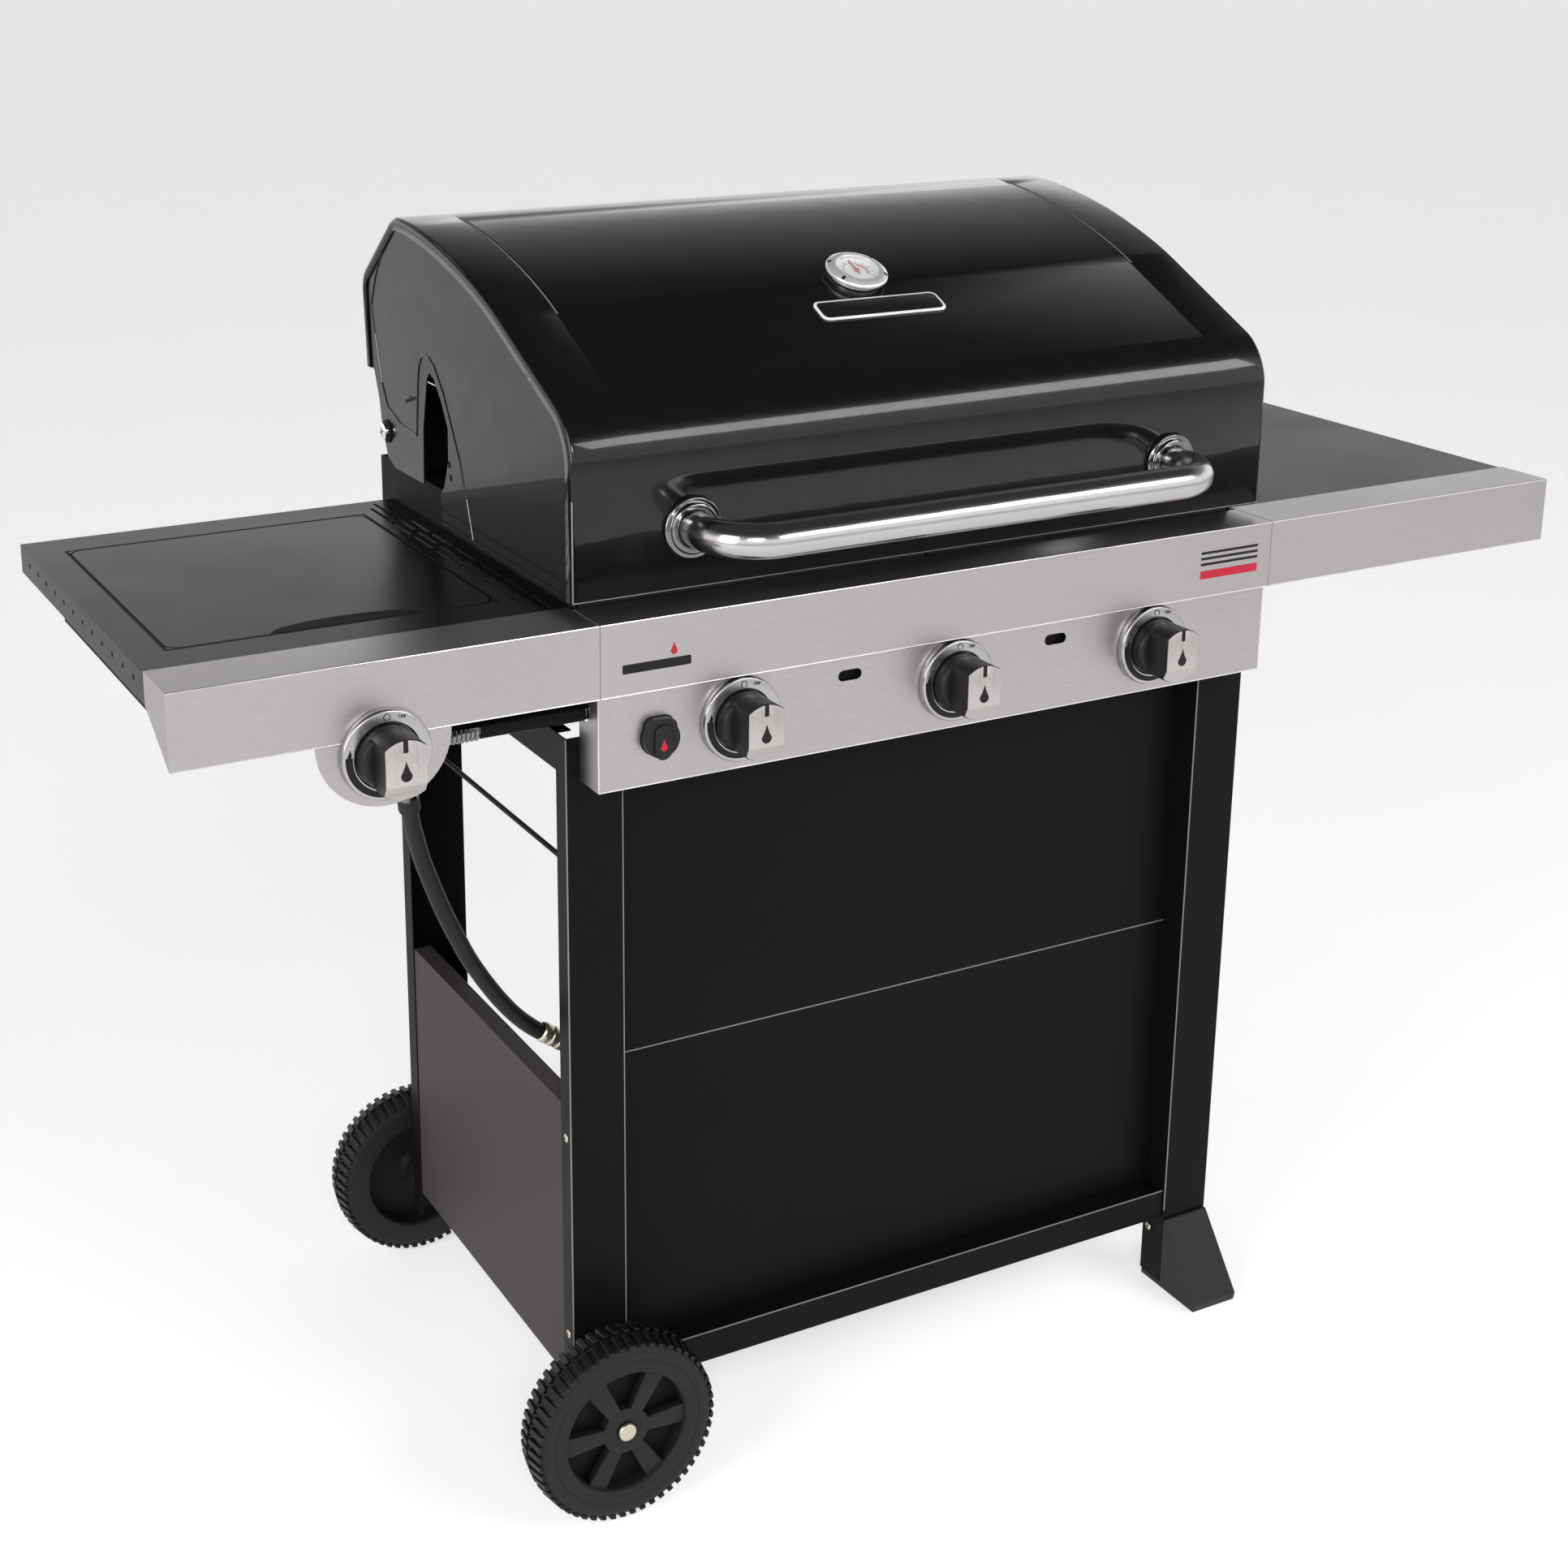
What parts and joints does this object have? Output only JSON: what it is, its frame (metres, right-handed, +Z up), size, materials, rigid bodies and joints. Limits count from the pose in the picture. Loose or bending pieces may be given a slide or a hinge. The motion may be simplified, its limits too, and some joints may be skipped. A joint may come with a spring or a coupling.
{
  "type": "gas barbecue grill",
  "caption": "Gas barbecue on a two-wheeled cart with a hinged hood, side shelves, a covered side burner and front gas knobs, for cooking outdoors.",
  "frame": {"origin": "on the floor, under the middle of the outline", "axes": "+Z up, the knobs and handle face -Y, and the side burner and the wheels are on the -X side"},
  "size_m": [1.43, 0.562, 1.123],
  "materials": {
    "cart_paint": "satin black powder coat with a fine grain",
    "side_panel_paint": "satin brown-black powder coat",
    "left_shelf_paint": "semi-gloss black powder coat",
    "right_shelf_paint": "satin dark grey powder coat",
    "lid_enamel": "glossy black vitreous enamel",
    "lid_end_enamel": "glossy brown-black enamel",
    "firebox_paint": "matt black heat-proof paint",
    "stainless": "brushed along its length",
    "handle_steel": "satin",
    "burner_steel": "satin, heat-tinted",
    "zinc_plate": "zinc-plated",
    "chrome": "polished",
    "brass": "turned",
    "cast_iron": "matt porcelain-coated",
    "knob_plastic": "satin black",
    "foot_plastic": "grained black",
    "wheel_plastic": "grained black",
    "hose_rubber": "matt black",
    "pointer_paint": "satin red"
  },
  "bodies": {
    "cart": {"leg_front_left": "cart_paint", "leg_rear_left": "cart_paint", "leg_front_right": "cart_paint", "leg_rear_right": "cart_paint", "front_panel_upper": "cart_paint", "front_panel_lower": "cart_paint", "front_bottom_rail": "cart_paint", "side_panel_left": "side_panel_paint", "side_panel_right": "side_panel_paint", "side_rail_left": "cart_paint", "side_rail_right": "cart_paint", "bottom_shelf": "cart_paint", "tank_guard_rod": "cart_paint", "foot_front_right": "foot_plastic", "foot_rear_right": "foot_plastic", "axle": "zinc_plate", "left_shelf": "left_shelf_paint", "right_shelf": "right_shelf_paint", "left_shelf_fascia": "stainless", "right_shelf_fascia": "stainless", "side_burner_bowl": "firebox_paint", "side_burner": "cast_iron", "side_burner_grate": "cast_iron", "side_knob_bracket": "stainless", "console_band": "stainless", "control_panel": "stainless", "knob_bezel_left": "chrome", "knob_bezel_middle": "chrome", "knob_bezel_right": "chrome", "knob_bezel_side": "chrome", "gas_manifold": "zinc_plate", "gas_hose": "hose_rubber", "gas_regulator": "zinc_plate", "firebox": "firebox_paint", "burner_left": "burner_steel", "burner_middle": "burner_steel", "burner_right": "burner_steel", "cooking_grate_left": "cast_iron", "cooking_grate_right": "cast_iron", "hinge_screw_left": "chrome", "hinge_screw_right": "chrome"},
    "lid": {"lid_shell": "lid_enamel", "lid_end_left": "lid_end_enamel", "lid_end_right": "lid_end_enamel", "lid_handle": "handle_steel", "thermometer": "chrome"},
    "pointer": {"thermometer_needle": "pointer_paint"},
    "side_lid": {"side_burner_lid": "left_shelf_paint"},
    "front_wheel": {"wheel_front": "wheel_plastic"},
    "rear_wheel": {"wheel_rear": "wheel_plastic"},
    "igniter": {"ignition_button": "knob_plastic"},
    "drip_tray": {"grease_tray": "zinc_plate"},
    "stem_left": {"valve_stem_left": "brass"},
    "stem_middle": {"valve_stem_middle": "brass"},
    "stem_right": {"valve_stem_right": "brass"},
    "stem_side": {"valve_stem_side": "brass"},
    "dial_left": {"knob_left": "knob_plastic"},
    "dial_middle": {"knob_middle": "knob_plastic"},
    "dial_right": {"knob_right": "knob_plastic"},
    "dial_side": {"knob_side": "knob_plastic"}
  },
  "joints": [
    {"name": "lid_hinge", "type": "hinge", "parent": "cart", "child": "lid", "pos_m": [0, 0.225, 0.912], "axis": [-1, 0, 0], "range_deg": [0, 80]},
    {"name": "pointer_turn", "type": "hinge", "parent": "lid", "child": "pointer", "pos_m": [0, -0.041, 1.07247], "axis": [0, 0.4102, -0.912], "range_deg": [-125, 125]},
    {"name": "side_lid_hinge", "type": "hinge", "parent": "cart", "child": "side_lid", "pos_m": [-0.541, 0.1995, 0.8385], "axis": [-1, 0, 0], "range_deg": [0, 95]},
    {"name": "front_wheel_spin", "type": "hinge", "parent": "cart", "child": "front_wheel", "pos_m": [-0.347, -0.2365, 0.0904], "axis": [0, 1, 0], "continuous": true},
    {"name": "rear_wheel_spin", "type": "hinge", "parent": "cart", "child": "rear_wheel", "pos_m": [-0.347, 0.2605, 0.0904], "axis": [0, 1, 0], "continuous": true},
    {"name": "igniter_push", "type": "slide", "parent": "cart", "child": "igniter", "axis": [0, 1, 0], "range_m": [0, 0.003], "stiffness_N_per_m": 1500},
    {"name": "tray_slide", "type": "slide", "parent": "cart", "child": "drip_tray", "axis": [0, 1, 0], "range_m": [0, 0.25]},
    {"name": "knob_left_push", "type": "slide", "parent": "cart", "child": "stem_left", "axis": [0, 1, 0], "range_m": [0, 0.004], "stiffness_N_per_m": 2500},
    {"name": "knob_middle_push", "type": "slide", "parent": "cart", "child": "stem_middle", "axis": [0, 1, 0], "range_m": [0, 0.004], "stiffness_N_per_m": 2500},
    {"name": "knob_right_push", "type": "slide", "parent": "cart", "child": "stem_right", "axis": [0, 1, 0], "range_m": [0, 0.004], "stiffness_N_per_m": 2500},
    {"name": "knob_side_push", "type": "slide", "parent": "cart", "child": "stem_side", "axis": [0, 1, 0], "range_m": [0, 0.004], "stiffness_N_per_m": 2500},
    {"name": "knob_left_turn", "type": "hinge", "parent": "stem_left", "child": "dial_left", "pos_m": [-0.22, -0.25, 0.737], "axis": [0, -1, 0], "range_deg": [0, 225]},
    {"name": "knob_middle_turn", "type": "hinge", "parent": "stem_middle", "child": "dial_middle", "pos_m": [0, -0.25, 0.737], "axis": [0, -1, 0], "range_deg": [0, 225]},
    {"name": "knob_right_turn", "type": "hinge", "parent": "stem_right", "child": "dial_right", "pos_m": [0.22, -0.25, 0.737], "axis": [0, -1, 0], "range_deg": [0, 225]},
    {"name": "knob_side_turn", "type": "hinge", "parent": "stem_side", "child": "dial_side", "pos_m": [-0.543, -0.256, 0.763], "axis": [0, -1, 0], "range_deg": [0, 225]}
  ]
}
